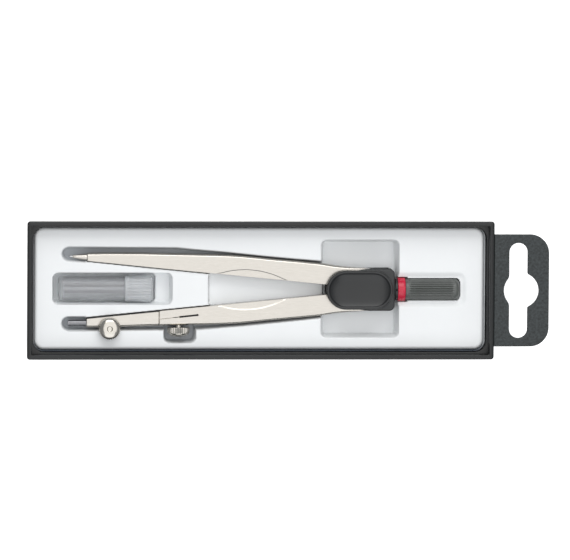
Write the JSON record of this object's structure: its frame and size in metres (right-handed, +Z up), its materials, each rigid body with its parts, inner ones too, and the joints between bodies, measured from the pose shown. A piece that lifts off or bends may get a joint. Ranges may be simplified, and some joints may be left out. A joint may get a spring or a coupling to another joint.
{
  "type": "drafting compass set",
  "caption": "Open hang-sell case with a formed insert that holds a two-leg drafting compass, its lead insert with clamp screws, and a clear tube of spare leads.",
  "frame": {"origin": "centre of the bounding box at the underside of the case, hang tab included", "axes": "+X along the case towards its hang tab, +Y across the case towards the needle leg, +Z up out of the open case"},
  "size_m": [0.1766, 0.0468, 0.016],
  "materials": {
    "case_black": "moulded black plastic, low gloss on top, glossy inner walls",
    "tab_black": "fine grained dark grey-black plastic",
    "insert_white": "matte white formed sheet with soft edges",
    "head_black": "satin black plastic",
    "cover_black": "semi-gloss black plastic, dished centre",
    "pin_steel": "bright steel",
    "ring_red": "glossy raspberry red plastic",
    "grip_black": "satin dark grey plastic with lengthwise ribs",
    "satin_nickel": "satin nickel plating with a warm tint",
    "polished_nickel": "polished nickel plating, knurled rim",
    "graphite": "grey graphite lead",
    "clear_plastic": "clear plastic"
  },
  "bodies": {
    "case": {"case_base": "case_black", "hang_tab": "tab_black", "insert_tray": "insert_white"},
    "head": {"head_body": "head_black", "head_cover_front": "cover_black", "head_cover_back": "cover_black", "leg_pivots": "pin_steel", "red_ring": "ring_red", "handle_grip": "grip_black"},
    "needle_leg": {"needle_leg": "satin_nickel", "needle_holder": "satin_nickel", "needle": "pin_steel"},
    "pencil_leg": {"pencil_leg": "satin_nickel", "lead_insert": "satin_nickel"},
    "insert_screw": {"insert_clamp_screw": "polished_nickel"},
    "lead_screw": {"lead_clamp_screw": "polished_nickel"},
    "lead": {"compass_lead": "graphite"},
    "tube": {"lead_tube": "clear_plastic", "spare_leads": "graphite"},
    "tube_cap": {"lead_tube_cap": "clear_plastic"}
  },
  "joints": [
    {"name": "compass_lift", "type": "slide", "parent": "case", "child": "head", "axis": [0, 0, 1], "range_m": [0, 0.2]},
    {"name": "needle_leg_open", "type": "hinge", "parent": "head", "child": "needle_leg", "pos_m": [0.03, 0.003, 0.0095], "axis": [0, 0, -1], "range_deg": [-5.6, 36.7]},
    {"name": "pencil_leg_open", "type": "hinge", "parent": "head", "child": "pencil_leg", "pos_m": [0.03, -0.003, 0.0095], "axis": [0, 0, 1], "range_deg": [-5.6, 36.7]},
    {"name": "insert_screw_turn", "type": "hinge", "parent": "pencil_leg", "child": "insert_screw", "pos_m": [-0.0368, -0.013, 0.0095], "axis": [0, -1, 0], "range_deg": [0, 270]},
    {"name": "lead_screw_turn", "type": "hinge", "parent": "pencil_leg", "child": "lead_screw", "pos_m": [-0.0603, -0.01305, 0.0095], "axis": [0, 0, 1], "range_deg": [0, 270]},
    {"name": "lead_slide", "type": "slide", "parent": "pencil_leg", "child": "lead", "axis": [-1, 0, 0], "range_m": [-0.004, 0.0014]},
    {"name": "tube_lift", "type": "slide", "parent": "case", "child": "tube", "axis": [0, 0, 1], "range_m": [0, 0.03]},
    {"name": "cap_pull", "type": "slide", "parent": "tube", "child": "tube_cap", "axis": [1, 0, 0], "range_m": [0, 0.0105]}
  ],
  "couplings": [
    {"joint": "needle_leg_open", "follows": "compass_lift", "rad_per_m": 3.2},
    {"joint": "pencil_leg_open", "follows": "compass_lift", "rad_per_m": 3.2},
    {"joint": "cap_pull", "follows": "tube_lift", "ratio": 0.35}
  ]
}
